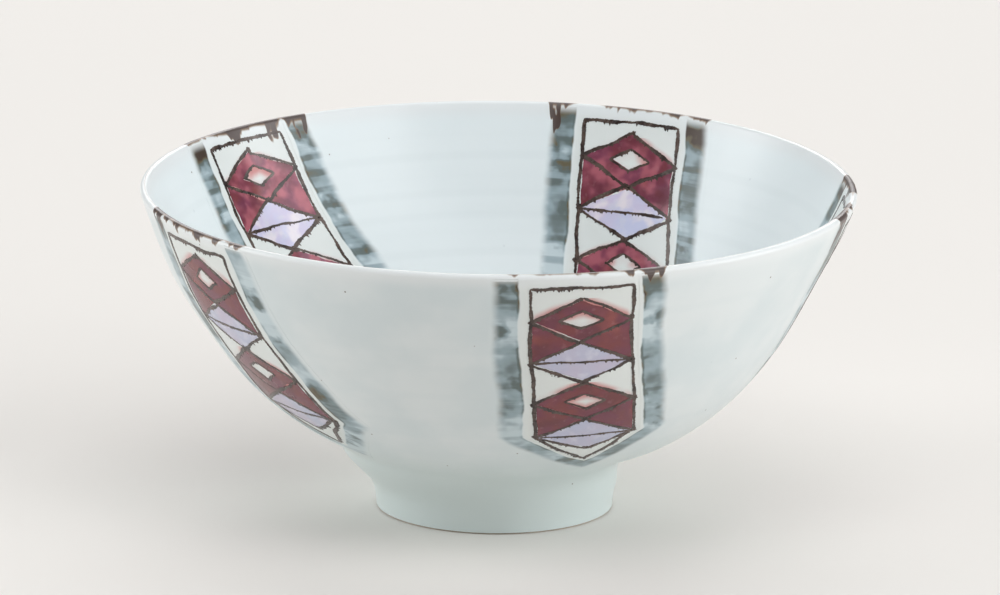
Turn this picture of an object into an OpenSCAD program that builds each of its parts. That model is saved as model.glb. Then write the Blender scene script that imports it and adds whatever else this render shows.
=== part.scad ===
// Hand-thrown porcelain bowl on a turned foot ring, glazed inside and out, with painted sashes
// that run over the lip. Millimetres, +Z up, origin on the table under the middle of the foot.
// Every wall is a chain of tangent arcs turned about the Z axis.

/* [Bowl] */
// Diameter across the widest part of the lip
rim_d = 220; // [216:1:228]
// Height from the table to the crown of the lip
height = 101; // [98:0.5:104]
// Thickness of the lip, which is fully rounded
lip_t = 2.6; // [2:0.1:3.2]
// Lean of the wall below the lip, from the vertical
rim_lean = 19.5; // [17.5:0.5:21.5]
// Outer radius of the belly's curve
belly_r = 86; // [84:0.5:88]
// Thickness of the wall at the belly
belly_t = 4.2; // [3.6:0.1:5]

/* [Foot] */
// Diameter of the foot where it stands
foot_d = 72.6; // [70:0.2:75]
// Lean of the foot's side where it stands, from the vertical
foot_lean = 0; // [0:0.5:3]
// Radius of the hollow curve that leads from the foot into the belly
flare_r = 25; // [23.5:0.5:26.5]
// Lean of the wall where the hollow curve turns into the belly, from the vertical
shoulder_lean = 65; // [63:0.5:66]
// Diameter of the well turned out under the foot
well_d = 60; // [56:0.5:62]
// Depth of the well, at whose level the foot ring is luted to the bowl
well_depth = 9; // [7:0.5:10]
// Bevel on both edges of the standing face
foot_bevel = 0.4; // [0.2:0.1:0.4]

/* [Glaze] */
// Thickness of the fired glaze
glaze_t = 0.3; // [0.2:0.05:0.5]
// Bare height above the table, wiped clean of glaze
bare_h = 0.5; // [0.4:0.1:1.5]
// Radius of the glaze that pools in the corner of the well
pool_r = 2; // [1:0.5:4]

/* [Painting] */
// Number of painted sashes round the bowl
sashes = 5; // [3:1:6]
// Direction of the first sash, from the front towards +X
first_sash = 13; // [0:1:60]
// Thickness of the painted coats
coat_t = 0.15; // [0.1:0.01:0.2]
// Width of the patterned middle of a sash
sash_w = 32; // [26:1:36]
// Distance along the wall from the lip to the first motif
lip_gap = 7; // [6:0.5:10]
// Number of motifs down the outside, and down the inside
motifs = 4; // [3:1:4]
// Length of one motif along the wall
motif_h = 17; // [15:0.5:17]
// Sideways drift of a sash for each millimetre down the wall
sash_drift = 0.14; // [0:0.01:0.2]
// Bare margin between the pattern and the wash beside it
margin_w = 3; // [2:0.5:4]
// Width of the wash
wash_w = 8; // [6:0.5:9]
// Width of a drawn line
line_w = 1; // [0.8:0.1:1.4]
// Share of its place that a painted motif fills
motif_fill = 0.9; // [0.8:0.01:0.92]
// Share of a claret motif that its bare heart takes
heart_size = 0.4; // [0.3:0.05:0.5]

/* [Hidden] */
$fn = 240;

// Overlap that lets neighbouring arcs of a section join as one, and the height over which they overlap
seam = 0.01;
lap = 5;

// Unit vector square to a wall that leans this far from the vertical, pointing out and down
function square_to(lean) = [cos(lean), -sin(lean)];

// Lip
lip_r = lip_t / 2;
lip_c = [rim_d / 2 - lip_r, height - lip_r];
rim_n = square_to(rim_lean);

// Foot flare, whose centre lies outside the clay
flare_c = [foot_d / 2 + flare_r * cos(foot_lean), -flare_r * sin(foot_lean)];
shoulder_n = square_to(shoulder_lean);

// Outer belly, then the outer wall that is tangent to the belly and to the lip
belly_c = flare_c - (flare_r + belly_r) * shoulder_n;
belly_to_rim = lip_c + lip_r * rim_n - belly_c;
wall_r = (belly_to_rim * belly_to_rim - belly_r * belly_r) / (2 * (belly_to_rim * rim_n - belly_r));
wall_c = lip_c - (wall_r - lip_r) * rim_n;
wall_n = (belly_c - wall_c) / norm(belly_c - wall_c);
wall_lean = -atan2(wall_n[1], wall_n[0]);

// Inside: a floor centred on the axis, a belly with the outer one's centre, and a wall that thins to the lip
inner_belly_r = belly_r - belly_t;
inner_shoulder = belly_c + inner_belly_r * shoulder_n;
floor_r = inner_shoulder[0] / cos(shoulder_lean);
floor_c = [0, inner_shoulder[1] + floor_r * sin(shoulder_lean)];
inner_turn = belly_c + inner_belly_r * wall_n;
turn_to_lip = lip_c - inner_turn;
inner_wall_r = (turn_to_lip * turn_to_lip - lip_r * lip_r) / (2 * (lip_r - turn_to_lip * wall_n));
inner_wall_c = inner_turn - inner_wall_r * wall_n;
inner_lip_n = (lip_c - inner_wall_c) / norm(lip_c - inner_wall_c);
inner_lip_lean = -atan2(inner_lip_n[1], inner_lip_n[0]);

// Foot ring
well_r = well_d / 2;
clay_foot_r = flare_c[0] - sqrt(pow(flare_r + glaze_t, 2) - pow(flare_c[1], 2));

// Lengths along the wall from the lip
outer_wall_len = wall_r * (wall_lean - rim_lean) * PI / 180;
inner_wall_len = inner_wall_r * (wall_lean - inner_lip_lean) * PI / 180;
pattern_end = lip_gap + motifs * motif_h;
half_w = sash_w / 2;
tip_len = half_w / 2;

// Half section between two heights
module strip(from, to) {
    translate([0, from]) square([rim_d, to - from]);
}

// Half section of the disc of an arc, between two heights
module arc_form(centre, radius, from, to) {
    intersection() {
        translate(centre) circle(radius);
        strip(from, to);
    }
}

// Half section inside the outer surface, at a depth below it: wall, belly and flared foot
module outer_form(depth) {
    turn = belly_c[1] + (belly_r - depth) * wall_n[1];
    shoulder = belly_c[1] + (belly_r - depth) * shoulder_n[1];
    arc_form(wall_c, wall_r - depth, turn, height);
    arc_form(belly_c, belly_r - depth + seam, shoulder - lap, turn + lap);
    difference() {
        square([flare_c[0], shoulder]);
        translate(flare_c) circle(flare_r + depth);
    }
}

// Half section of the hollow, widened by a depth below its surface: wall, belly and floor
module inner_form(depth) {
    turn = belly_c[1] + (inner_belly_r + depth) * wall_n[1];
    shoulder = belly_c[1] + (inner_belly_r + depth) * shoulder_n[1];
    arc_form(inner_wall_c, inner_wall_r + depth, turn, height + lap);
    arc_form(belly_c, inner_belly_r + depth + seam, shoulder - lap, turn + lap);
    arc_form(floor_c, floor_r + depth, 0, shoulder);
}

// Half section below the lines where the two walls run into the rounded lip
module under_lip() {
    polygon([[0, 0], [rim_d, 0], [rim_d, lip_c[1] + (rim_d - lip_c[0]) * rim_n[1] / rim_n[0]],
             lip_c, [0, lip_c[1] - lip_c[0] * inner_lip_n[1] / inner_lip_n[0]]]);
}

module lip(depth) {
    translate(lip_c) circle(lip_r - depth + seam);
}

// Half section of the bowl without its hollow, at a depth below the outer surface
module outer_section(depth) {
    intersection() {
        outer_form(depth);
        under_lip();
    }
    lip(depth);
}

// Half section of the clay
module clay_section() {
    difference() {
        intersection() {
            outer_form(glaze_t);
            under_lip();
        }
        inner_form(glaze_t);
    }
    lip(glaze_t);
}

module bowl_wall() {
    color([0.93, 0.92, 0.9]) rotate_extrude() intersection() {
        clay_section();
        strip(well_depth, height);
    }
}

module foot_ring() {
    color([0.86, 0.8, 0.72]) rotate_extrude() difference() {
        polygon([[well_r + foot_bevel, 0], [clay_foot_r - foot_bevel, 0],
                 [clay_foot_r - foot_bevel + well_depth, well_depth],
                 [well_r, well_depth], [well_r, foot_bevel]]);
        translate(flare_c) circle(flare_r + glaze_t);
    }
}

// The two glazes meet along the crown of the lip
module inside_glaze() {
    color([0.88, 0.93, 0.94]) rotate_extrude() difference() {
        union() {
            intersection() {
                inner_form(glaze_t);
                under_lip();
            }
            lip(0);
        }
        inner_form(0);
        clay_section();
        translate([lip_c[0], 0]) strip(0, height + lap);
    }
}

module outside_glaze() {
    color([0.84, 0.9, 0.9]) rotate_extrude() difference() {
        outer_section(0);
        outer_section(glaze_t);
        strip(0, bare_h);
        translate([lip_c[0] - rim_d, 0]) strip(lip_c[1] - lip_r, height + lap);
    }
}

module foot_well_glaze() {
    inner_r = well_r - glaze_t;
    ceiling = well_depth - glaze_t;
    color([0.84, 0.9, 0.9]) rotate_extrude() difference() {
        translate([0, bare_h]) square([well_r, well_depth - bare_h]);
        square([inner_r, ceiling - pool_r]);
        square([inner_r - pool_r, ceiling]);
        translate([inner_r - pool_r, ceiling - pool_r]) circle(pool_r);
    }
}

// Height of the outer or inner surface at a distance along the wall from the lip
function arc_height(centre, radius, lean, length) = centre[1] - radius * sin(lean + length / radius * 180 / PI);
function outer_height(s) = s < outer_wall_len
    ? arc_height(wall_c, wall_r, rim_lean, s)
    : arc_height(belly_c, belly_r, wall_lean, s - outer_wall_len);
function inner_height(s) = s < inner_wall_len
    ? arc_height(inner_wall_c, inner_wall_r, inner_lip_lean, s)
    : arc_height(belly_c, inner_belly_r, wall_lean, s - inner_wall_len);

// Points of a sash, given across it and along the wall from the lip, as seen square to the wall
function on_face(points, outside) = [for (p = points)
    outside ? [p[0] + sash_drift * p[1], outer_height(p[1])]
            : [p[0] - sash_drift * p[1], inner_height(p[1])]];

// Shapes of the pattern, across the sash and along the wall
function motif_start(i) = lip_gap + i * motif_h;
function lozenge(i, scale) = let (mid = motif_start(i) + motif_h / 2)
    [for (p = [[0, -1], [1, 0], [0, 1], [-1, 0]])
        [p[0] * scale * half_w, mid + p[1] * scale * motif_h / 2]];
function side_triangle(i, side) = let (joint = motif_start(i), reach = motif_fill * motif_h / 2)
    [[side * half_w * motif_fill, joint - reach], [side * half_w * (1 - motif_fill), joint],
     [side * half_w * motif_fill, joint + reach]];
function sash_outline(grow) =
    [[-half_w - grow, lip_gap / 2], [half_w + grow, lip_gap / 2], [half_w + grow, pattern_end - motif_h / 2],
     [0, pattern_end + tip_len + grow], [-half_w - grow, pattern_end - motif_h / 2]];

module filled(outlines, outside) {
    for (outline = outlines) polygon(on_face(outline, outside));
}

// Even motifs are claret with a bare heart, odd ones are lilac with claret triangles at their upper joint
even_motifs = [for (i = [0:2:motifs - 1]) i];
odd_motifs = [for (i = [1:2:motifs - 1]) i];

module claret_pattern(outside) {
    difference() {
        filled([for (i = even_motifs) lozenge(i, motif_fill)], outside);
        filled([for (i = even_motifs) lozenge(i, heart_size)], outside);
    }
    filled([for (i = odd_motifs, side = [-1, 1]) side_triangle(i, side)], outside);
}

module lilac_pattern(outside) {
    filled([for (i = odd_motifs) lozenge(i, motif_fill)], outside);
}

module wash_pattern(outside) {
    difference() {
        filled([sash_outline(margin_w + wash_w)], outside);
        filled([sash_outline(margin_w)], outside);
    }
}

module line_pattern(outside) {
    difference() {
        filled([sash_outline(line_w / 2)], outside);
        filled([sash_outline(-line_w / 2)], outside);
    }
}

// Skin of a coat on the outside or the inside, over the heights that the sashes cover
module coat_skin(outside) {
    foot_end = pattern_end + tip_len + margin_w + wash_w;
    rotate_extrude() intersection() {
        difference() {
            if (outside) outer_form(-coat_t);
            else inner_form(0);
            if (outside) outer_form(0);
            else inner_form(-coat_t);
        }
        strip(outside ? outer_height(foot_end + lap) : inner_height(foot_end + lap), lip_c[1]);
    }
}

// A coat of every sash, cut out of its skin by looking square at the wall
module coat_on(outside) {
    intersection() {
        coat_skin(outside);
        for (k = [0:sashes - 1])
            rotate([90, 0, first_sash + k * 360 / sashes]) linear_extrude(rim_d) children();
    }
}

module grey_wash() {
    color([0.48, 0.54, 0.58]) for (outside = [true, false]) coat_on(outside) wash_pattern(outside);
}

module brown_lines() {
    color([0.27, 0.2, 0.18]) for (outside = [true, false]) coat_on(outside) line_pattern(outside);
}

module claret_lustre() {
    color([0.45, 0.2, 0.27]) for (outside = [true, false]) coat_on(outside) claret_pattern(outside);
}

module lilac_lustre() {
    color([0.75, 0.71, 0.85]) for (outside = [true, false]) coat_on(outside) lilac_pattern(outside);
}

bowl_wall();
foot_ring();
inside_glaze();
outside_glaze();
foot_well_glaze();
grey_wash();
brown_lines();
claret_lustre();
lilac_lustre();
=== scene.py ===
"""A hand-thrown porcelain bowl over its CAD frame: glaze, painted sashes, floor, lights and camera.

Sizes are in millimetres and angles in radians until a mesh is made, which is in metres.
A place on the bowl's surface is (t, angle). t is the distance from the crown of the lip, positive down the
outside and negative down the inside. The angle runs from the front towards +X."""

import functools
import math
from collections import namedtuple

import bmesh
import bpy
import numpy as np
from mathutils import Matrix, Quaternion, Vector
from mathutils.geometry import delaunay_2d_cdt


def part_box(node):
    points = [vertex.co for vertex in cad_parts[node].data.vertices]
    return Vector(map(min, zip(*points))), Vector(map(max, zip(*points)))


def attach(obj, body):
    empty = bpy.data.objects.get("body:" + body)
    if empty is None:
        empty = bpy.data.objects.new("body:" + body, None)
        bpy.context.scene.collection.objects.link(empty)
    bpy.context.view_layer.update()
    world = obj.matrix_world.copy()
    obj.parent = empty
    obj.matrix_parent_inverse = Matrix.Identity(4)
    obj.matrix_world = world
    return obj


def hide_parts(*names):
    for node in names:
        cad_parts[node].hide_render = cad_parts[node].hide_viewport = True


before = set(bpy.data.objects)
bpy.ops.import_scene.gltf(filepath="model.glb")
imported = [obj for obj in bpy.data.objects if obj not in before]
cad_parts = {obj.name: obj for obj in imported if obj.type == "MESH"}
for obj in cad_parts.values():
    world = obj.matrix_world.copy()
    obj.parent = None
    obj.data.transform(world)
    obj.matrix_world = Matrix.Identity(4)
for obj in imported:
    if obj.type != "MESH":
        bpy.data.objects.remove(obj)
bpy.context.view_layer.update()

MM = 0.001
SEED = 11

# Sizes that the frame gives
rim_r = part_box("outside_glaze")[1].x / MM
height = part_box("outside_glaze")[1].z / MM
bare_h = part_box("outside_glaze")[0].z / MM
well_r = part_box("foot_well_glaze")[1].x / MM
well_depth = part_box("foot_well_glaze")[1].z / MM

# Driving sizes of the section, as in the solids
lip_r = 1.3
rim_lean = math.radians(19.5)
belly_r = 86
belly_t = 4.2
foot_r = 36.3
foot_lean = 0
flare_r = 25
shoulder_lean = math.radians(65)
foot_bevel = 0.4
glaze_t = 0.3
pool_r = 2

# Painted sashes, as in the solids
sashes = 5
first_sash = math.radians(13)
sash_w = 32
lip_gap = 7
motifs = 4
motif_h = 17
sash_drift = 0.14
margin_w = 3
wash_w = 8
line_w = 1
motif_fill = 0.96
heart_size = 0.4

# Throwing rings: their heights, their waves as (pitch, share), and where below the lip they begin and end
inside_rings = 0.03
outside_rings = 0.02
ring_waves = ((6.4, 0.6), (10.3, 0.4))
rings_begin = (4, 18)
rings_end_inside = 125
rings_end_outside = 92
rings_fade = 16

# A rim out of round and level: sizes, waves as (number in a turn, share, phase), and an inset that keeps it
# inside the solids
out_of_round = 0.12
out_of_level = 0.12
round_waves = ((2, 1, 0.7), (3, 0.5, 2.1))
level_waves = ((2, 1, 2.4), (3, 0.6, 0.5))
wave_inset = 2.4

# How far the section strays sideways, at some heights
wander = ((7, -0.4), (16.5, -3.4), (25, 0.9), (52, 0.0), (74, -1.0), (98, 0.0))

# Heights of the painted coats above the glaze, and how far they sink into it
wash_lift = 0.05
fill_lift = 0.08
line_lift = 0.12
coat_root = 0.06

# Meshes: points round the bowl, distances between rows in sight and out of sight, rows on the lip, the
# angle that makes an edge sharp, and what counts as nothing
segments = 320
row_step = 1.2
back_step = 4.8
clay_step = 4
lip_rows = 16
crease = math.radians(35)
tiny = 1e-6


def square_to(lean):
    """Unit vector square to a wall that leans this far from the vertical, pointing out and down."""
    return np.array((math.cos(lean), -math.sin(lean)))


def lean_of(square):
    return -math.atan2(square[1], square[0])


def unit(vector):
    return vector / np.linalg.norm(vector)


def ease(value, low, high):
    """Rises smoothly from 0 at low to 1 at high."""
    x = np.clip((value - low) / (high - low), 0, 1)
    return x * x * (3 - 2 * x)


# Centres and radii of the tangent arcs, worked out as in the solids
lip_c = np.array((rim_r - lip_r, height - lip_r))
rim_n = square_to(rim_lean)
flare_c = np.array((foot_r + flare_r * math.cos(foot_lean), -flare_r * math.sin(foot_lean)))
shoulder_n = square_to(shoulder_lean)
belly_c = flare_c - (flare_r + belly_r) * shoulder_n
belly_to_rim = lip_c + lip_r * rim_n - belly_c
wall_r = (belly_to_rim @ belly_to_rim - belly_r ** 2) / (2 * (belly_to_rim @ rim_n - belly_r))
wall_c = lip_c - (wall_r - lip_r) * rim_n
wall_n = unit(belly_c - wall_c)
wall_lean = lean_of(wall_n)
inner_belly_r = belly_r - belly_t
inner_shoulder = belly_c + inner_belly_r * shoulder_n
floor_r = inner_shoulder[0] / math.cos(shoulder_lean)
floor_c = np.array((0, inner_shoulder[1] + floor_r * math.sin(shoulder_lean)))
inner_turn = belly_c + inner_belly_r * wall_n
turn_to_lip = lip_c - inner_turn
inner_wall_r = (turn_to_lip @ turn_to_lip - lip_r ** 2) / (2 * (lip_r - turn_to_lip @ wall_n))
inner_wall_c = inner_turn - inner_wall_r * wall_n
inner_lip_lean = lean_of(unit(lip_c - inner_wall_c))
glaze_end_lean = math.asin((bare_h - flare_c[1]) / flare_r)

# An arc of a section between two leans: side is -1 where its centre lies beyond the surface from the point
# of view of the squares, and face is -1 where the surface looks the other way from them
Arc = namedtuple("Arc", "centre radius start end side face")


class Section:
    """A chain of tangent arcs in the half plane, followed by distance from the crown of the lip."""

    def __init__(self, *arcs):
        self.arcs = arcs
        self.ends = np.cumsum([arc.radius * abs(arc.end - arc.start) for arc in arcs])
        self.length = self.ends[-1]
        self.lip_len = self.ends[0]

    def at(self, distance):
        """Points and outward normals, as rows of (radius, height)."""
        distance = np.clip(distance, 0, self.length)
        chosen = np.minimum(np.searchsorted(self.ends, distance), len(self.arcs) - 1)
        points = np.empty((len(distance), 2))
        normals = np.empty_like(points)
        for i, arc in enumerate(self.arcs):
            here = chosen == i
            begin = self.ends[i - 1] if i else 0
            lean = arc.start + math.copysign(1, arc.end - arc.start) * (distance[here] - begin) / arc.radius
            square = np.stack((np.cos(lean), -np.sin(lean)), axis=1)
            points[here] = arc.centre + arc.side * arc.radius * square
            normals[here] = arc.face * square
        return points, normals


outer = Section(
    Arc(lip_c, lip_r, -math.pi / 2, rim_lean, 1, 1),
    Arc(wall_c, wall_r, rim_lean, wall_lean, 1, 1),
    Arc(belly_c, belly_r, wall_lean, shoulder_lean, 1, 1),
    Arc(flare_c, flare_r, shoulder_lean, glaze_end_lean, -1, 1),
)
inner = Section(
    Arc(lip_c, lip_r, math.pi / 2, inner_lip_lean, -1, -1),
    Arc(inner_wall_c, inner_wall_r, inner_lip_lean, wall_lean, 1, -1),
    Arc(belly_c, inner_belly_r, wall_lean, shoulder_lean, 1, -1),
    Arc(floor_c, floor_r, shoulder_lean, math.pi / 2, 1, -1),
)


def surface(t):
    """Points and normals of the glaze's section at signed distances from the crown."""
    points, normals = outer.at(np.abs(t))
    inside = t < 0
    points[inside], normals[inside] = inner.at(-t[inside])
    return points, normals


def rings(t, angle):
    """Throwing rings from -1 to 1, which climb the wall as a spiral and fade at the lip, floor and foot."""
    turn = angle / (2 * math.pi)
    wave = sum(share * np.sin(2 * math.pi * (t / pitch + turn)) for pitch, share in ring_waves)
    down = np.abs(t)
    end = np.where(t > 0, rings_end_outside, rings_end_inside)
    return wave * ease(down, *rings_begin) * (1 - ease(down, end, end + rings_fade))


def rim_wave(angle, waves):
    """Waves round the rim, all of them below zero."""
    return sum(share * np.sin(count * angle + phase) for count, share, phase in waves) - wave_inset


def by_hand(points):
    """The bowl's unevenness: a rim a little out of round and level, and a section that strays sideways."""
    x, y, z = points.T
    rise = z / height
    angle = np.arctan2(x, -y)
    scale = 1 + rise * out_of_round * rim_wave(angle, round_waves) / rim_r
    droop = out_of_level * rim_wave(angle, level_waves)
    steps = zip(wander, wander[1:])
    shift = wander[0][1] + sum((b - a) * ease(z, low, high) for (low, a), (high, b) in steps)
    return np.stack((x * scale + shift, y * scale, z + rise ** 2 * droop), axis=1)


def turned_to(points, angle):
    """Rows of (radius, height) turned about the axis to these angles."""
    r, z = points.T
    return np.stack((r * np.sin(angle), -r * np.cos(angle), z), axis=1)


def on_bowl(t, angle, lift):
    """Points at a height above the glaze."""
    points, normals = surface(t)
    size = np.where(t > 0, outside_rings, inside_rings)
    rise = lift + size * rings(t, angle)
    return by_hand(turned_to(points + normals * rise[:, None], angle))


# Sashes: u runs across a sash and s along the wall from where the lip's rounding ends
half_w = sash_w / 2
pattern_end = lip_gap + motifs * motif_h
tip_len = half_w / 2
sash_shoulder = pattern_end - motif_h / 2
sash_tip = pattern_end + tip_len
tip_line = (half_w + sash_shoulder + sash_tip) / 2
sash_angles = [first_sash + k * 2 * math.pi / sashes for k in range(sashes)]

# A distance that is past any sash, and the angle on both sides of a sash within which it is looked for
far_off = 60
sash_reach = 1.2

# Distances over which the bare ground round a sash, the darker, greener glaze low outside and the lip's
# effect fade
ground_fade = (margin_w - 1.5, margin_w + 2)
lower_fade = (72, 118)
lip_fade = (1, 18)

# What sets the brush strokes of one sash apart from the next one's
stroke_step = 40

# How much iron gathered along the lip left of each sash, over it and right of it
lip_iron = ((0.15, 0.3, 1.0), (0.9, 0.8, 0.5), (0.3, 0.5, 0.8), (0.6, 1.0, 1.0), (0.6, 0.7, 0.2))


def lip_len(t):
    return np.where(t > 0, outer.lip_len, inner.lip_len)


def spread(u, t):
    """How far the sash's outline would have to grow to reach a place; negative within the sash."""
    s = np.abs(t) - lip_len(t)
    return np.maximum(np.abs(u) - half_w, np.abs(u) + s - tip_line)


def sash_place(u, t, k):
    """Angle of a place of sash k."""
    r = surface(t)[0][:, 0]
    return sash_angles[k] + np.arcsin((u + sash_drift * t) / r)


def nearest_sash(t, angle):
    """Distance across from the middle of the nearest sash, and the iron at that place of it."""
    r = surface(t)[0][:, 0]
    beside = np.full(len(t), float(far_off))
    iron = np.zeros(len(t))
    for middle, (left, over, right) in zip(sash_angles, lip_iron):
        off = np.arctan2(np.sin(angle - middle), np.cos(angle - middle))
        u = np.where(np.abs(off) < sash_reach, r * np.sin(off) - sash_drift * t, far_off)
        nearer = np.abs(u) < beside
        beside = np.where(nearer, np.abs(u), beside)
        edges = (-half_w - margin_w, -half_w, half_w, half_w + margin_w)
        iron = np.where(nearer, np.interp(u, edges, (left, over, over, right)), iron)
    return beside, iron


def glaze_attributes(t, angle):
    """What the glaze's colour depends on: distance from the lip, the nearest sash, iron, rings and how low it
    lies.
    """
    beside, iron = nearest_sash(t, angle)
    return {
        "down": t,
        "beside": beside,
        "iron": iron,
        "ground": 1 - ease(spread(beside, t), *ground_fade),
        "rings": rings(t, angle),
        "pool": ease(t, *lower_fade),
    }


# Materials


def tone(red, green, blue):
    """A colour as seen, from 0 to 255, in the linear values that shaders take."""
    seen = np.array((red, green, blue)) / 255
    linear = np.where(seen > 0.04045, ((seen + 0.055) / 1.055) ** 2.4, seen / 12.92)
    return (*linear, 1)


class Paint:
    """A material with one Principled shader, whose other nodes are added and wired one call at a time."""

    def __init__(self, name, **constants):
        self.material = bpy.data.materials.new(name)
        self.material.use_nodes = True
        self.tree = self.material.node_tree
        self.shader = self.tree.nodes["Principled BSDF"]
        for socket, value in constants.items():
            self.shader.inputs[socket.replace("_", " ")].default_value = value

    def plug(self, socket, value):
        if isinstance(value, bpy.types.NodeSocket):
            self.tree.links.new(value, socket)
        else:
            socket.default_value = value

    def drive(self, socket, value):
        self.plug(self.shader.inputs[socket], value)

    def node(self, kind, inputs, output=0, **settings):
        made = self.tree.nodes.new(kind)
        for name, value in settings.items():
            setattr(made, name, value)
        for name, value in inputs.items():
            self.plug(made.inputs[name], value)
        return made.outputs[output]

    def attribute(self, name, output="Fac"):
        return self.node("ShaderNodeAttribute", {}, output, attribute_name=name)

    def place(self):
        return self.node("ShaderNodeTexCoord", {}, "Object")

    def fall_lines(self, radius, drift):
        """Places at a radius, in metres, that change down the wall only by a share of the height."""
        place = self.place()
        level = self.node("ShaderNodeVectorMath", {0: place, 1: (1, 1, 0)}, operation="MULTIPLY")
        facing = self.node("ShaderNodeVectorMath", {0: level}, operation="NORMALIZE")
        round_bowl = self.node("ShaderNodeVectorMath", {0: facing, "Scale": radius}, operation="SCALE")
        inputs = {0: place, 1: (0, 0, drift), 2: round_bowl}
        return self.node("ShaderNodeVectorMath", inputs, operation="MULTIPLY_ADD")

    def noise(self, vector, scale, detail=2, roughness=0.5):
        inputs = {"Vector": vector, "Scale": scale, "Detail": detail, "Roughness": roughness}
        return self.node("ShaderNodeTexNoise", inputs)

    def clouds(self, scale, low, high, first=0.0, last=1.0, detail=2):
        """Noise over the piece with this many cells in a metre, eased as below."""
        return self.ease(self.noise(self.place(), scale, detail), low, high, first, last)

    def brushed(self, across, down, apart=1, detail=2, roughness=0.5):
        """Noise in the strokes of a brush, with this many cells in a millimetre across and down a sash."""
        stroke = self.attribute("stroke", "Vector")
        scaled = self.node("ShaderNodeMapping", {"Vector": stroke, "Scale": (across, down, apart)})
        return self.noise(scaled, 1, detail, roughness)

    def cells(self, scale):
        """Distance from the nearest of scattered points, with about this many of them in a metre."""
        inputs = {"Vector": self.place(), "Scale": scale}
        return self.node("ShaderNodeTexVoronoi", inputs, "Distance")

    def ease(self, value, low, high, first=0.0, last=1.0):
        """Goes smoothly from first, where a value is low, to last, where it is high."""
        inputs = {"Value": value, "From Min": low, "From Max": high, "To Min": first, "To Max": last}
        return self.node("ShaderNodeMapRange", inputs, interpolation_type="SMOOTHSTEP")

    def maths(self, operation, *values):
        return self.node("ShaderNodeMath", dict(enumerate(values)), operation=operation)

    def sum(self, first, second):
        return self.maths("ADD", first, second)

    def times(self, first, second):
        return self.maths("MULTIPLY", first, second)

    def size(self, value):
        """A value without its sign."""
        return self.maths("ABSOLUTE", value)

    def wave(self, value):
        return self.maths("SINE", value)

    def repeat(self, value):
        """The part of a value past its whole number."""
        return self.maths("FRACT", value)

    def mix(self, share, first, second):
        return self.node("ShaderNodeMix", {0: share, 6: first, 7: second}, 2, data_type="RGBA")

    def bump(self, relief, strength, distance):
        inputs = {"Height": relief, "Strength": strength, "Distance": distance * MM}
        self.drive("Normal", self.node("ShaderNodeBump", inputs))


# Colours of the glaze, of iron and of the claret's bleed
GLAZE_PALE = tone(232, 239, 240)
GLAZE_BLUE = tone(222, 232, 234)
# Painted light: the inside glaze is drawn lighter and bluer than the outside, for the brighter light that
# falls inside
GLAZE_INSIDE_PAINTED_LIGHT = tone(239, 248, 250)
# Darker and greener: the glaze low on the outside and all through the well under the foot
GLAZE_LOWER = tone(223, 235, 234)
GROUND_WHITE = tone(231, 236, 234)
# Whiter at the lip, partly where the glaze runs thin and partly as a painted highlight on its rounding
LIP_THIN_GLAZE_AND_HIGHLIGHT = tone(238, 243, 244)
BLUE_SPECK = tone(172, 186, 190)
IRON_SPECK = tone(104, 88, 70)
IRON_CORE = tone(74, 55, 49)
IRON_EDGE = tone(134, 104, 76)
COPPER_PINK = tone(206, 116, 114)

# Colours of the wash, from thin to thick
WASH_PALE = tone(204, 219, 224)
WASH_BLUE = tone(156, 175, 182)
WASH_GREY = tone(100, 113, 112)
WASH_OLIVE = tone(106, 98, 76)
WASH_BROWN = tone(72, 58, 48)

# Colours of the lines and lustres
LINE_DARK = tone(54, 45, 43)
LINE_PALE = tone(98, 83, 76)
CLARET_RED = tone(126, 62, 64)
CLARET_VIOLET = tone(118, 60, 77)
# Mauve and pink: the claret's sheen, painted into its colour inside
CLARET_MAUVE = tone(146, 80, 114)
CLARET_PINK = tone(190, 108, 122)
CLARET_BROWN = tone(98, 49, 52)
CLARET_FLAME = tone(154, 80, 76)
# Pale flecks scattered over the claret lustre
CLARET_PALE_FLECK = tone(178, 122, 132)
LILAC_PINK = tone(199, 191, 212)
LILAC_BLUE = tone(192, 196, 219)
# Pale flecks scattered over the lilac lustre
LILAC_PALE_FLECK = tone(222, 222, 234)
# Pearl tints and white: the lilac's sheen and highlights, painted into its colour inside
PEARL_PINK = tone(216, 205, 231)
PEARL_BLUE = tone(208, 212, 240)
PEARL_WHITE = tone(244, 236, 242)

# Colours of bare clay and of the stage
CLAY_PALE = tone(226, 216, 202)
CLAY_GREY = tone(214, 202, 186)
CLAY_TOAST = tone(146, 116, 92)
FLOOR_DIM = tone(236, 233, 229)
FLOOR_PALE = tone(238, 235, 231)
SKY_WHITE = tone(246, 246, 246)

# How far the bleed reaches, as a share of a lozenge, and how softly it stops at the pattern's sides, in mm
bleed_reach = 1.4
bleed_stop = 2


def copper_bleed(paint, colour):
    """Pink that bled in patches from the claret lozenges into the bare ground beside and within them."""
    beside = paint.attribute("beside")
    down_sash = paint.sum(paint.size(paint.attribute("down")), -lip_gap - outer.lip_len)
    motif = paint.times(paint.repeat(paint.times(down_sash, 0.5 / motif_h)), 2)
    from_middle = paint.times(paint.size(paint.sum(motif, -0.5)), 2)
    # 0 in the middle of a claret lozenge and 1 on its edge
    share = paint.sum(paint.times(beside, 1 / half_w), from_middle)
    near_edge = paint.times(paint.ease(share, bleed_reach, 1), paint.ease(share, 0, heart_size))
    pattern = motifs * motif_h
    within = paint.times(
        paint.ease(beside, half_w, half_w - bleed_stop),
        paint.ease(down_sash, pattern, pattern - bleed_stop),
    )
    patch = paint.clouds(75, 0.4, 0.6, 0.1, 0.85)
    return paint.mix(paint.times(patch, paint.times(within, near_edge)), colour, COPPER_PINK)


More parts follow.
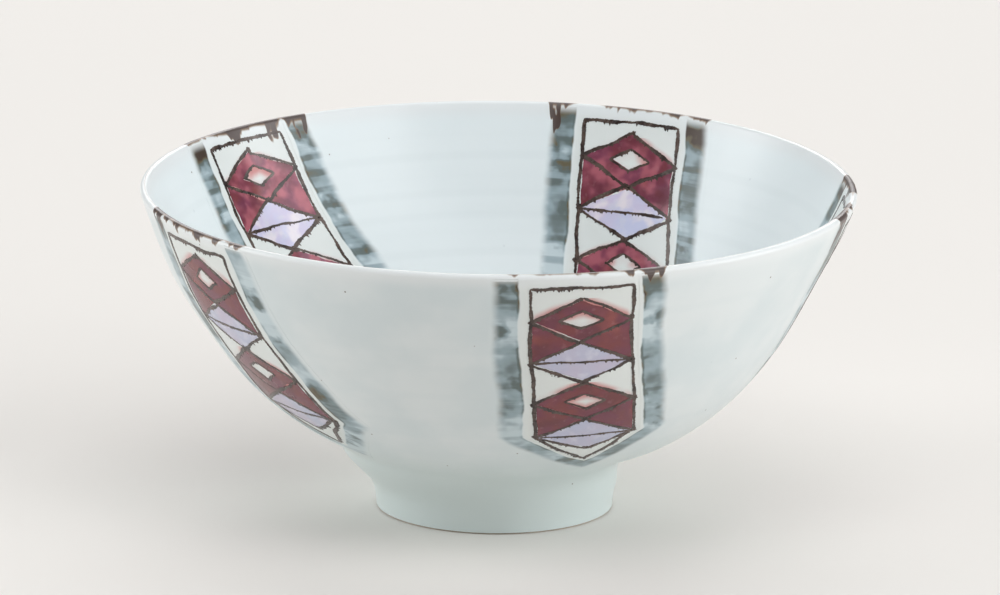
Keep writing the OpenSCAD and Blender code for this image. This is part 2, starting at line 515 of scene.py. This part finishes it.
def glaze_colour(paint):
    """Blue-white glaze; painted lighter inside, whiter at the thin-glazed lip with a painted highlight,
    darker and greener low outside and in the well, white round the pattern, with ghost specks and a few iron
    ones.
    """
    down = paint.attribute("down")
    colour = paint.mix(paint.clouds(38, 0.35, 0.68, detail=3), GLAZE_PALE, GLAZE_BLUE)
    # Painted light: towards the inside the glaze turns lighter and bluer
    colour = paint.mix(paint.ease(down, 2, -6, 0, 0.8), colour, GLAZE_INSIDE_PAINTED_LIGHT)
    groove = paint.ease(paint.attribute("rings"), 0.1, -0.9, 0, 0.17)
    colour = paint.mix(groove, colour, GLAZE_BLUE)
    # Darker and greener towards the foot outside, and in the well
    colour = paint.mix(paint.attribute("pool"), colour, GLAZE_LOWER)
    colour = paint.mix(paint.attribute("ground"), colour, GROUND_WHITE)
    colour = copper_bleed(paint, colour)
    # Within a few millimetres of the crown: whiter for the thin glaze, with a painted highlight along the lip
    colour = paint.mix(paint.ease(paint.size(down), 7.5, 1.2), colour, LIP_THIN_GLAZE_AND_HIGHLIGHT)
    ghost = paint.ease(paint.cells(70), 0.045, 0.02, 0, 0.2)
    colour = paint.mix(ghost, colour, BLUE_SPECK)
    fleck = paint.ease(paint.cells(115), 0.04, 0.022, 0, 0.9)
    return paint.mix(fleck, colour, IRON_SPECK)


# The middle of the wash beside a sash, and how much the iron's runs change as they fall
wash_middle = half_w + margin_w + wash_w / 2
run_drift = 0.3


def iron_stain(paint, colour):
    """Iron along the lip: a broken line over a sash, blots where the wash crosses, and drips from both."""
    runs = paint.fall_lines(lip_c[0] * MM, run_drift)
    spell = paint.noise(runs, 48, 1)
    tongue = paint.noise(runs, 270, 2)
    length = paint.ease(paint.noise(runs, 95, 1), 0.36, 0.64, 4, 17)
    beside = paint.attribute("beside")
    crossing = paint.ease(paint.size(paint.sum(beside, -wash_middle)), wash_w * 0.65, wash_w * 0.3)
    within = paint.ease(beside, half_w + margin_w + 1, half_w)
    line = paint.times(within, paint.ease(spell, 0.32, 0.52, -0.2, 1.9))
    blot = paint.times(crossing, paint.ease(spell, 0.3, 0.6, 0.6, 4))
    dripping = paint.sum(crossing, paint.times(within, 0.38))
    joined = paint.times(dripping, paint.ease(spell, 0.35, 0.46))
    drips = paint.times(joined, paint.times(paint.ease(tongue, 0.44, 0.7), length))
    reach = paint.times(paint.attribute("iron"), paint.sum(drips, paint.sum(line, blot)))
    short = paint.sum(paint.size(paint.attribute("down")), paint.times(reach, -1))
    tint = paint.mix(paint.ease(short, -1.1, -0.1), IRON_CORE, IRON_EDGE)
    return paint.mix(paint.ease(short, 0.45, -0.45, 0, 0.94), colour, tint)


def glaze_finish(paint):
    """Soft gloss with a faint orange-peel surface."""
    paint.drive("Roughness", paint.clouds(160, 0.3, 0.7, 0.28, 0.34))
    paint.bump(paint.noise(paint.place(), 420), 0.05, 0.05)


def glaze_material():
    paint = Paint("blue_white_glaze", IOR=1.5)
    paint.drive("Base Color", iron_stain(paint, glaze_colour(paint)))
    glaze_finish(paint)
    return paint.material


# Distance between the bars that a loaded brush left across the wash
bar_pitch = 6.8


def wash_thickness(paint, across):
    """How thick the wash lies: blotches, bars, pools, streaks, a drawn edge and what gathered at the lip."""
    down = paint.attribute("down")
    blotch = paint.brushed(0.06, 0.07, detail=3, roughness=0.55)
    stray = paint.times(paint.brushed(0.012, 0.05), 12)
    phase = paint.sum(paint.times(down, 2 * math.pi / bar_pitch), stray)
    fading = paint.ease(paint.brushed(0.03, 0.09, detail=1), 0.36, 0.6, 0.1, 1)
    bars = paint.times(paint.ease(paint.wave(phase), 0, 0.95), paint.ease(down, 3, -3, 0.14, 0.34))
    streaks = paint.sum(paint.brushed(0.07, 0.8), -0.5)
    zone = paint.ease(paint.brushed(0.03, 0.05, 3, detail=1), 0.42, 0.6, 0, 0.35)
    gathered = paint.sum(paint.times(paint.attribute("iron"), 0.4), 0.2)
    parts = (
        paint.ease(blotch, 0.33, 0.7, 0, 0.66),
        paint.times(bars, fading),
        paint.ease(paint.brushed(0.09, 0.08, 2, detail=3), 0.54, 0.7, 0, 0.6),
        paint.times(streaks, zone),
        paint.times(paint.ease(across, 0.16, 0.04), paint.ease(blotch, 0.4, 0.6, 0.05, 0.35)),
        paint.times(paint.attribute("near_lip"), gathered),
    )
    return functools.reduce(paint.sum, parts)


def wash_material():
    """Oxide wash, sharp along the pattern and soft outside, thin on the lip, and brown where it is thick."""
    paint = Paint("grey_blue_wash", IOR=1.5)
    wobble = paint.ease(paint.brushed(0.07, 0.07, detail=3), 0.25, 0.75, -0.08, 0.08)
    across = paint.sum(paint.attribute("across"), wobble)
    band = paint.times(paint.ease(across, -0.02, 0.06), paint.ease(across, 1.08, 0.68))
    band = paint.times(band, paint.ease(paint.size(paint.attribute("down")), 1.2, 4.5, 0.1, 1))
    thick = wash_thickness(paint, across)
    tint = paint.mix(paint.ease(thick, 0.05, 0.4), WASH_PALE, WASH_BLUE)
    tint = paint.mix(paint.ease(thick, 0.38, 0.76), tint, WASH_GREY)
    tint = paint.mix(paint.ease(thick, 0.8, 1.05), tint, WASH_OLIVE)
    tint = paint.mix(paint.ease(thick, 1.0, 1.3), tint, WASH_BROWN)
    colour = paint.mix(band, glaze_colour(paint), tint)
    paint.drive("Base Color", iron_stain(paint, colour))
    glaze_finish(paint)
    return paint.material


def line_material():
    """Iron-brown drawn line, nearly black where it lies thick."""
    paint = Paint("brown_line", IOR=1.5)
    paint.drive("Base Color", paint.mix(paint.clouds(260, 0.3, 0.7, detail=3), LINE_DARK, LINE_PALE))
    paint.drive("Roughness", paint.clouds(500, 0.3, 0.7, 0.14, 0.32))
    return paint.material


def claret_material():
    """Copper-red lustre clouded with violet and brown, a little metallic; inside, its sheen is painted in,
    pinker and livelier.
    """
    paint = Paint("claret_lustre", IOR=1.5, Metallic=0.1, Coat_Weight=0.12, Coat_Roughness=0.2)
    tint = paint.mix(paint.clouds(130, 0.36, 0.64), CLARET_RED, CLARET_VIOLET)
    # Painted sheen: on the inside the lustre's iridescent sheen is drawn into its colour, in mauve and pink
    inside = paint.ease(paint.attribute("down"), 2, -2)
    lively = paint.noise(paint.place(), 150)
    pink = paint.mix(paint.ease(lively, 0.35, 0.62), CLARET_MAUVE, CLARET_PINK)
    tint = paint.mix(paint.times(inside, paint.ease(lively, 0.34, 0.66, 0.15, 0.85)), tint, pink)
    tint = paint.mix(paint.clouds(120, 0.5, 0.7, 0, 0.5), tint, CLARET_BROWN)
    tint = paint.mix(paint.clouds(105, 0.56, 0.74, 0, 0.6), tint, CLARET_FLAME)
    # Small pale flecks scattered over the lustre
    tint = paint.mix(paint.clouds(480, 0.56, 0.76, 0, 0.22, detail=3), tint, CLARET_PALE_FLECK)
    paint.drive("Base Color", tint)
    paint.drive("Roughness", paint.clouds(300, 0.3, 0.7, 0.1, 0.22))
    return paint.material


def lilac_material():
    """Lilac mother-of-pearl lustre that drifts from pink to blue; inside, a painted sheen makes it paler and
    white in patches.
    """
    paint = Paint("lilac_lustre", IOR=1.55, Coat_Weight=0.25, Coat_Roughness=0.2)
    drift = paint.clouds(85, 0.32, 0.68)
    tint = paint.mix(drift, LILAC_PINK, LILAC_BLUE)
    # Painted sheen: inside, pearly tints and white patches stand for the lustre's iridescent sheen and
    # highlights
    pearl = paint.mix(drift, PEARL_PINK, PEARL_BLUE)
    pearl = paint.mix(paint.clouds(135, 0.5, 0.66, 0, 0.85), pearl, PEARL_WHITE)
    tint = paint.mix(paint.ease(paint.attribute("down"), 2, -2), tint, pearl)
    # Small pale flecks scattered over the lustre
    tint = paint.mix(paint.clouds(240, 0.5, 0.7, 0, 0.5, detail=4), tint, LILAC_PALE_FLECK)
    paint.drive("Base Color", tint)
    paint.drive("Roughness", paint.clouds(220, 0.3, 0.7, 0.12, 0.22))
    return paint.material


def clay_material():
    """Bare porcelain, toasted brown along the wiped edge and mottled grey in its grain."""
    paint = Paint("bare_porcelain", IOR=1.45)
    grain = paint.noise(paint.place(), 900, 3)
    up = paint.node("ShaderNodeSeparateXYZ", {"Vector": paint.place()}, "Z")
    toast = paint.sum(up, paint.clouds(120, 0.3, 0.7, -0.15 * MM, 0.15 * MM, detail=3))
    tint = paint.mix(paint.ease(grain, 0.3, 0.7), CLAY_PALE, CLAY_GREY)
    tint = paint.mix(paint.ease(toast, 0.1 * MM, 0.6 * MM, 0.1, 0.75), tint, CLAY_TOAST)
    paint.drive("Base Color", tint)
    paint.drive("Roughness", paint.ease(grain, 0.3, 0.7, 0.6, 0.85))
    paint.bump(grain, 0.2, 0.05)
    return paint.material


# Meshes


def make_piece(name, points, faces, material, node, attributes):
    """A mesh piece in metres that rides on the bowl and stands for one of its nodes."""
    mesh = bpy.data.meshes.new(name)
    mesh.from_pydata((points * MM).tolist(), [], faces)
    for label, values in attributes.items():
        kind = "FLOAT_VECTOR" if values.ndim == 2 else "FLOAT"
        data = mesh.attributes.new(label, kind, "POINT").data
        data.foreach_set("vector" if values.ndim == 2 else "value", values.astype(np.float32).ravel())
    shell = bmesh.new()
    shell.from_mesh(mesh)
    bmesh.ops.recalc_face_normals(shell, faces=shell.faces)
    for face in shell.faces:
        face.smooth = True
    for edge in shell.edges:
        edge.smooth = edge.calc_face_angle(0) < crease
    shell.to_mesh(mesh)
    shell.free()
    mesh.materials.append(material)
    piece = bpy.data.objects.new(name, mesh)
    bpy.context.scene.collection.objects.link(piece)
    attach(piece, "root")
    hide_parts(node)


def shell_faces(sizes):
    """Faces of a closed shell through rings of this many points, where a ring of one point is a pole."""
    starts = np.cumsum([0, *sizes]).tolist()
    faces = []
    for i, size in enumerate(sizes):
        j = (i + 1) % len(sizes)
        most = max(size, sizes[j])
        if most == 1:
            continue
        for k in range(most):
            following = (k + 1) % most
            corners = (
                starts[i] + k % size,
                starts[i] + following % size,
                starts[j] + following % sizes[j],
                starts[j] + k % sizes[j],
            )
            faces.append(tuple(dict.fromkeys(corners)))
    return faces


def ring_angles(count):
    return np.linspace(0, 2 * math.pi, count, endpoint=False)


def section_rows(section, step):
    """Distances from the crown for the rows of a mesh, close together round the lip."""
    lip = np.linspace(0, section.lip_len, lip_rows)
    wall = np.linspace(section.lip_len, section.length, round((section.length - section.lip_len) / step))
    return np.concatenate((lip, wall[1:]))


def skin_shell(rows, around):
    """Points, faces, t and angles of a closed shell of rows (signed t, lift) on the bowl's surface."""
    angles = ring_angles(around)
    points, sizes, places = [], [], []
    for t, lift in rows:
        pole = t <= -inner.length + tiny
        ring = angles[:1] if pole else angles
        ts = np.full(len(ring), t)
        points.append(on_bowl(ts, ring, lift))
        sizes.append(len(ring))
        places.append(np.stack((ts, ring), axis=1))
    t, angle = np.concatenate(places).T
    return np.concatenate(points), shell_faces(sizes), t, angle


def make_glaze(name, section, sign, node, material):
    front = [(sign * d, 0) for d in section_rows(section, row_step)]
    back = [(sign * d, -glaze_t) for d in section_rows(section, back_step)]
    points, faces, t, angle = skin_shell(front + back[::-1], segments)
    make_piece(name, points, faces, material, node, glaze_attributes(t, angle))


def make_clay_body(material):
    """The clay under the glazes, from the well's level up; the glazes hide it."""
    down_outside = section_rows(outer, clay_step)
    down_outside = down_outside[outer.at(down_outside)[0][:, 1] > well_depth]
    up_inside = section_rows(inner, clay_step)[::-1]
    rows = [(d, -glaze_t) for d in down_outside] + [(-d, -glaze_t) for d in up_inside]
    points, faces, _, _ = skin_shell(rows, segments // 2)
    make_piece("clay_body", points, faces, material, "bowl_wall", {})


def lathe(profile, around):
    """Points and faces of a closed profile of (radius, height) turned about the axis."""
    angles = ring_angles(around)
    circles = [np.tile(p, (1 if p[0] < tiny else around, 1)) for p in profile]
    turned = [turned_to(circle, angles[: len(circle)]) for circle in circles]
    return by_hand(np.concatenate(turned)), shell_faces([len(circle) for circle in circles])


def arc_points(centre, radius, start, end, count):
    """Points of an arc of (radius, height) between two directions."""
    turn = np.linspace(start, end, count)
    return [centre + radius * np.array((math.cos(a), math.sin(a))) for a in turn]


def make_foot_ring(material):
    """Turned foot ring with a bevelled standing face, under the outer glaze."""
    clay_flare_r = flare_r + glaze_t
    clay_foot_r = flare_c[0] - math.sqrt(clay_flare_r ** 2 - flare_c[1] ** 2)
    low = math.asin((foot_bevel - flare_c[1]) / clay_flare_r)
    high = math.asin((well_depth - flare_c[1]) / clay_flare_r)
    side = arc_points(flare_c, clay_flare_r, math.pi - low, math.pi - high, count=8)
    profile = [
        np.array((well_r + foot_bevel, 0)),
        np.array((clay_foot_r - foot_bevel, 0)),
        *side,
        np.array((well_r, well_depth)),
        np.array((well_r, foot_bevel)),
    ]
    points, faces = lathe(profile, segments // 2)
    make_piece("clay_foot", points, faces, material, "foot_ring", {})


def make_well_glaze(material):
    """Glaze in the well under the foot, pooled round its corner."""
    inner_r = well_r - glaze_t
    ceiling = well_depth - glaze_t
    corner = np.array((inner_r - pool_r, ceiling - pool_r))
    profile = [
        np.array((inner_r, bare_h)),
        *arc_points(corner, pool_r, 0, math.pi / 2, count=10),
        np.array((0, ceiling)),
        np.array((0, well_depth)),
        np.array((well_r, well_depth)),
        np.array((well_r, bare_h)),
    ]
    points, faces = lathe(profile, segments // 2)
    plain = np.zeros(len(points))
    attributes = {name: plain for name in ("iron", "ground", "rings")}
    attributes.update(down=plain + far_off, beside=plain + far_off, pool=plain + 1)
    make_piece("glaze_foot_well", points, faces, material, "foot_well_glaze", attributes)


# Painted coats

# Hand-painted edges: the step between their points, points in a wave, and raggedness as a share of the sway
edge_step = 0.5
edge_span = 7
edge_rag = 0.25

# Drawn lines: step, sways as (size, points in a wave), swelling, thin ends, raggedness and least width
line_step = 0.35
line_sways = ((0.35, 22), (0.12, 6))
line_swell = 0.35
swell_span = 9
line_end = 0.45
end_span = 4
line_rag = 0.1
line_least = 0.15

# Short drips from a line's lower edge: length in line widths, rarity, shortest share and sideways share
drip_len = 0.9
drip_rarity = 0.82
drip_shortest = 0.2
drip_sideways = 0.15

# Blots where the brush rested
blot_points = 18
blot_rag = 0.3
blot_sizes = (0.6, 1.0)
blot_place = 0.98

# How far the corners of the shapes stray
lozenge_stray = 0.3
heart_stray = 0.2
triangle_stray = 0.25
line_stray = 0.25
rib_stray = 0.4
blot_stray = 0.3

# Thin lines and ribs, and what fills the shapes: grids of points, and how far the wash overlaps its edges
thin_line = 0.8
rib_reach = 0.9
fill_grid = 1.6
wash_grid = 1.2
wash_overlap = 1
points_at_once = 200
same_point = 1e-5


class Coat:
    """A thin closed film on the bowl, gathered from flat patches in a sash's own (u, t)."""

    def __init__(self, lift):
        self.lift = lift
        self.count = 0
        self.points, self.faces, self.attributes = [], [], []

    def add(self, flat, faces, k):
        """Lays a patch of (u, t) points and faces on sash k, with a top, a root in the glaze and sides."""
        u, t = flat.T
        angle = sash_place(u, t, k)
        size = len(flat)
        self.points += [on_bowl(t, angle, self.lift), on_bowl(t, angle, -coat_root)]
        top, root = self.count, self.count + size
        edges = {(a, b) for face in faces for a, b in zip(face, (*face[1:], face[0]))}
        for face in faces:
            self.faces.append(tuple(top + i for i in face))
            self.faces.append(tuple(root + i for i in reversed(face)))
        for a, b in edges:
            if (b, a) not in edges:
                self.faces.append((top + b, top + a, root + a, root + b))
        facts = {
            **glaze_attributes(t, angle),
            "stroke": np.stack((u, t, np.full(size, stroke_step * k)), axis=1),
            "across": (spread(u, t) - margin_w) / wash_w,
            "near_lip": 1 - ease(np.abs(t), *lip_fade),
        }
        self.attributes += [facts, facts]
        self.count += 2 * size

    def piece(self, name, material, slot, node, used):
        attributes = {label: np.concatenate([facts[label] for facts in self.attributes]) for label in used}
        make_piece(name, np.concatenate(self.points), self.faces, material, node, attributes)


def waver(count, span, rng):
    """Smooth noise from -1 to 1 along a line of points, level at both ends; span is in points."""
    knots = rng.uniform(-1, 1, count // span + 4)
    at = np.arange(count) / span
    low = at.astype(int)
    part = ease(at - low, 0, 1)
    fade = ease(np.minimum(np.arange(count), np.arange(count)[::-1]), 0, span)
    return (knots[low] * (1 - part) + knots[low + 1] * part) * fade


def along(corners, step, closed):
    """Points a step apart along the straight runs between corners."""
    ends = [*corners[1:], corners[0]] if closed else corners[1:]
    runs = []
    for a, b in zip(np.array(corners, float), np.array(ends, float)):
        count = max(2, round(np.linalg.norm(b - a) / step))
        runs.append(a + (b - a) * np.arange(count)[:, None] / count)
    if not closed:
        runs.append(np.array([corners[-1]], float))
    return np.concatenate(runs)


def squares(path):
    """Unit vectors square to a path of points, on its left."""
    ahead = np.gradient(path, axis=0)
    ahead /= np.linalg.norm(ahead, axis=1)[:, None]
    return np.stack((-ahead[:, 1], ahead[:, 0]), axis=1)


def inside_outlines(places, outlines):
    """True for the places that lie inside an odd number of the closed outlines."""
    odd = np.zeros(len(places), bool)
    x, y = places[:, :1], places[:, 1:]
    for outline in outlines:
        (x0, y0), (x1, y1) = outline.T, np.roll(outline, -1, axis=0).T
        slope = (x1 - x0) / np.where(y1 == y0, tiny, y1 - y0)
        crosses = ((y0 > y) != (y1 > y)) & (x < x0 + slope * (y - y0))
        odd ^= crosses.sum(axis=1) % 2 == 1
    return odd


def filled(outlines, grid):
    """Points and triangles that fill closed outlines, with a grid of points inside to follow the curve."""
    every = np.concatenate(outlines)
    (left, low), (right, high) = every.min(axis=0), every.max(axis=0)
    u, t = np.meshgrid(np.arange(left, right, grid), np.arange(low, high, grid))
    mesh = np.stack((u.ravel(), t.ravel()), axis=1)
    mesh = mesh[inside_outlines(mesh, outlines)]
    clear = np.ones(len(mesh), bool)
    for outline in outlines:
        for part in np.array_split(outline, max(1, len(outline) // points_at_once)):
            gap = np.linalg.norm(mesh[:, None] - part[None], axis=2).min(axis=1)
            clear &= gap > grid / 2
    places = np.concatenate((every, mesh[clear]))
    edges, start = [], 0
    for outline in outlines:
        count = len(outline)
        edges += [(start + i, start + (i + 1) % count) for i in range(count)]
        start += count
    points, _, faces, *_ = delaunay_2d_cdt([Vector(p) for p in places], edges, [], 0, same_point)
    points = np.array([tuple(p) for p in points])
    middles = np.array([points[list(face)].mean(axis=0) for face in faces])
    kept = inside_outlines(middles, outlines)
    return points, [tuple(face) for face, keep in zip(faces, kept) if keep]


def side_t(s, side):
    """Signed distance from the crown at a distance s along the wall outside (1) or inside (-1)."""
    return side * (s + (outer.lip_len if side > 0 else inner.lip_len))


def shaken(corners, side, rng, stray):
    """Corners (u, s) of a hand-placed shape on a side of the bowl, as (u, t)."""
    return [(u + rng.normal(0, stray), side_t(s + rng.normal(0, stray), side)) for u, s in corners]


def painted_outline(corners, side, rng, stray):
    """A closed shape filled by hand: its corners stray, and its edge wavers and is finely ragged."""
    edge = along(shaken(corners, side, rng, stray), edge_step, True)
    shake = stray * (waver(len(edge), edge_span, rng) + edge_rag * rng.uniform(-1, 1, len(edge)))
    return edge + squares(edge) * shake[:, None]


def draw_line(coat, corners, k, rng, width=line_w, closed=False):
    """A drawn line: it sways, swells and thins, and its lower edge bleeds in short drips."""
    path = along([*corners, corners[0]] if closed else corners, line_step, False)
    count = len(path)
    normal = squares(path)
    sway = sum(size * waver(count, span, rng) for size, span in line_sways)
    path = path + normal * sway[:, None]
    body = width / 2 * (1 + line_swell * waver(count, swell_span, rng))
    from_end = np.minimum(np.arange(count), np.arange(count)[::-1])
    body *= line_end + (1 - line_end) * ease(from_end, 0, end_span)
    downhill = math.copysign(1, path[count // 2, 1])
    sides = []
    for sign in (1, -1):
        ragged = line_rag * rng.uniform(-1, 1, count)
        below = np.clip(sign * downhill * normal[:, 1], drip_sideways, 1)
        drips = rng.uniform(0, 1, count) > drip_rarity
        drip = drip_len * below * drips * rng.uniform(drip_shortest, 1, count)
        reach = np.maximum(body + width * (ragged + drip), line_least * width)
        sides.append(path + sign * normal * reach[:, None])
    faces = [(i, i + count, i + 1 + count, i + 1) for i in range(count - 1)]
    coat.add(np.concatenate(sides), faces, k)


def draw_blot(coat, centre, size, k, rng):
    """A small round blot where the brush rested."""
    turn = ring_angles(blot_points)
    reach = size * (1 + blot_rag * rng.uniform(-1, 1, blot_points))
    rim = centre + np.stack((np.cos(turn), np.sin(turn)), axis=1) * reach[:, None]
    faces = [(blot_points, i, (i + 1) % blot_points) for i in range(blot_points)]
    coat.add(np.vstack((rim, centre)), faces, k)


def motif_middle(i):
    return lip_gap + (i + 0.5) * motif_h


def lozenge(i, scale):
    corners = ((0, -1), (1, 0), (0, 1), (-1, 0))
    return [(x * scale * half_w, motif_middle(i) + y * scale * motif_h / 2) for x, y in corners]


def side_triangle(i, side):
    joint = lip_gap + i * motif_h
    reach = motif_fill * motif_h / 2
    outer_u = side * half_w * motif_fill
    return [(outer_u, joint - reach), (side * half_w * (1 - motif_fill), joint), (outer_u, joint + reach)]


def sash_outline():
    """The drawn outline from one end of the lip's edge round the tip to the other."""
    top = lip_gap / 2
    return [(-half_w, top), (half_w, top), (half_w, sash_shoulder), (0, sash_tip), (-half_w, sash_shoulder)]


def zigzag(flank):
    """The line down one side of the lozenges, from the middle of the pattern's top to that of its end."""
    corners = [(0, lip_gap)]
    for i in range(motifs):
        corners += [(flank * half_w, motif_middle(i)), (0, lip_gap + (i + 1) * motif_h)]
    return corners


def paint_fills(claret, lilac, k, side, rng):
    """Claret lozenges with bare hearts on even motifs; lilac ones on odd motifs, between claret triangles."""
    for i in range(motifs):
        diamond = painted_outline(lozenge(i, motif_fill), side, rng, lozenge_stray)
        if i % 2 == 0:
            heart = painted_outline(lozenge(i, heart_size), side, rng, heart_stray)
            claret.add(*filled([diamond, heart], fill_grid), k)
            continue
        lilac.add(*filled([diamond], fill_grid), k)
        for flank in (-1, 1):
            triangle = painted_outline(side_triangle(i, flank), side, rng, triangle_stray)
            claret.add(*filled([triangle], fill_grid), k)


def paint_lines(lines, k, side, rng):
    """The outline, the zigzags between motifs, the hearts' edges and a rib across each lilac lozenge."""
    draw_line(lines, shaken(sash_outline(), side, rng, line_stray), k, rng, closed=True)
    for flank in (-1, 1):
        draw_line(lines, shaken(zigzag(flank), side, rng, line_stray), k, rng)
    for i in range(motifs):
        if i % 2 == 0:
            heart = shaken(lozenge(i, heart_size), side, rng, heart_stray)
            draw_line(lines, heart, k, rng, thin_line, closed=True)
        else:
            rib = [(end * half_w * rib_reach, motif_middle(i)) for end in (-1, 1)]
            draw_line(lines, shaken(rib, side, rng, rib_stray), k, rng, thin_line)
        for corner in shaken(lozenge(i, blot_place), side, rng, blot_stray):
            draw_blot(lines, np.array(corner), rng.uniform(*blot_sizes), k, rng)


def wash_outline(grow):
    """Closed line round a whole sash, over the lip from the tip inside to the tip outside."""
    wide = half_w + grow
    corners = []
    for side in (1, -1):
        shoulder = side_t(sash_shoulder, side)
        corners += [(side * wide, shoulder), (0, side_t(sash_tip + grow, side)), (-side * wide, shoulder)]
    return along(corners, edge_step, True)


def lay_wash(wash, k):
    """The wash beside a sash, a little wider than it reads, because its edges fade within it."""
    outside = wash_outline(margin_w + wash_w + wash_overlap)
    beside = wash_outline(margin_w - wash_overlap)
    wash.add(*filled([outside, beside], wash_grid), k)


def make_painting():
    wash = Coat(wash_lift)
    claret = Coat(fill_lift)
    lilac = Coat(fill_lift)
    lines = Coat(line_lift)
    for k in range(sashes):
        lay_wash(wash, k)
        for side in (1, -1):
            rng = np.random.default_rng(SEED + 2 * k + (side > 0))
            paint_fills(claret, lilac, k, side, rng)
            paint_lines(lines, k, side, rng)
    wash_facts = ("down", "beside", "iron", "ground", "rings", "pool", "stroke", "across", "near_lip")
    wash.piece("painted_wash", wash_material(), "grey_wash", "grey_wash", wash_facts)
    claret.piece("painted_claret", claret_material(), "claret_lustre", "claret_lustre", ("down",))
    lilac.piece("painted_lilac", lilac_material(), "lilac_lustre", "lilac_lustre", ("down",))
    lines.piece("painted_lines", line_material(), "brown_line", "brown_lines", ())


# Stage

lamp_target = (0, 0, 0.06)
sky_strength = 0.08


def make_floor():
    """A wide pale floor, with its reach in metres."""
    reach = 12
    mesh = bpy.data.meshes.new("floor")
    corners = [(x * reach, y * reach, 0) for x, y in ((-1, -1), (1, -1), (1, 1), (-1, 1))]
    mesh.from_pydata(corners, [], [(0, 1, 2, 3)])
    paint = Paint("pale_floor", Roughness=0.9, Specular_IOR_Level=0.1)
    paint.drive("Base Color", paint.mix(paint.noise(paint.place(), 3), FLOOR_DIM, FLOOR_PALE))
    mesh.materials.append(paint.material)
    floor = bpy.data.objects.new("floor", mesh)
    bpy.context.scene.collection.objects.link(floor)


def aim(thing, place, target, roll=0.0):
    """Puts a camera or lamp at a place, in metres, and turns it towards a target and about that line."""
    thing.location = place
    towards = (Vector(target) - Vector(place)).to_track_quat("-Z", "Y")
    thing.rotation_euler = (towards @ Quaternion((0, 0, 1), roll)).to_euler()
    bpy.context.scene.collection.objects.link(thing)


def add_lamp(name, place, size, watts):
    """A soft box of light with its place and size in metres, aimed at the bowl's middle."""
    lamp = bpy.data.lights.new(name, "AREA")
    lamp.shape = "RECTANGLE"
    lamp.size, lamp.size_y = size
    lamp.energy = watts
    aim(bpy.data.objects.new(name, lamp), place, lamp_target)


def light_stage():
    """A dim even world and soft boxes all round, each with its place, size and watts."""
    world = bpy.data.worlds.new("studio")
    world.use_nodes = True
    sky = world.node_tree.nodes["Background"]
    sky.inputs["Color"].default_value = SKY_WHITE
    sky.inputs["Strength"].default_value = sky_strength
    bpy.context.scene.world = world
    lamps = {
        "top_light": ((0.1, 0.5, 1.9), (1.6, 1.2), 6.9),
        "high_front_light": ((0, -1, 2.1), (1.6, 1), 12.8),
        "front_light": ((0, -2.2, 1.4), (1.6, 1), 4),
        "back_light": ((0, 2, 1.2), (1.8, 1), 23.3),
        "left_light": ((-1.7, 0.1, 0.75), (0.9, 1.3), 11.2),
        "low_left_light": ((-1.7, -0.2, 0.4), (0.9, 0.7), 4.5),
        "right_light": ((1.7, -0.1, 0.75), (0.9, 1.3), 7.1),
        "low_right_light": ((1.7, -0.2, 0.4), (0.9, 0.7), 5.3),
        "right_front_light": ((1.5, -1.3, 0.9), (0.9, 1.2), 6.3),
        "high_right_light": ((1.2, -1.2, 1.7), (0.9, 1), 6.1),
    }
    for name, (place, size, watts) in lamps.items():
        add_lamp(name, place, size, watts)


def place_camera():
    """A long lens, so that the rim and the foot keep nearly the same aspect."""
    image_w = 1000
    pixels_per_mm = 3.262
    elevation = math.radians(14.68)
    roll = math.radians(0.56)
    distance = 4000
    target = Vector((0.75, 0, 65.34)) * MM
    camera = bpy.data.cameras.new("camera")
    camera.sensor_width = 36
    camera.lens = pixels_per_mm * distance * camera.sensor_width / image_w
    holder = bpy.data.objects.new("camera", camera)
    back = Vector((0, -math.cos(elevation), math.sin(elevation))) * distance * MM
    aim(holder, target + back, target, roll)
    bpy.context.scene.camera = holder


glaze = glaze_material()
clay = clay_material()
make_glaze("glaze_outside", outer, 1, "outside_glaze", glaze)
make_glaze("glaze_inside", inner, -1, "inside_glaze", glaze)
make_well_glaze(glaze)
make_clay_body(clay)
make_foot_ring(clay)
make_painting()
make_floor()
light_stage()
place_camera()
bpy.context.scene.view_settings.view_transform = "Standard"
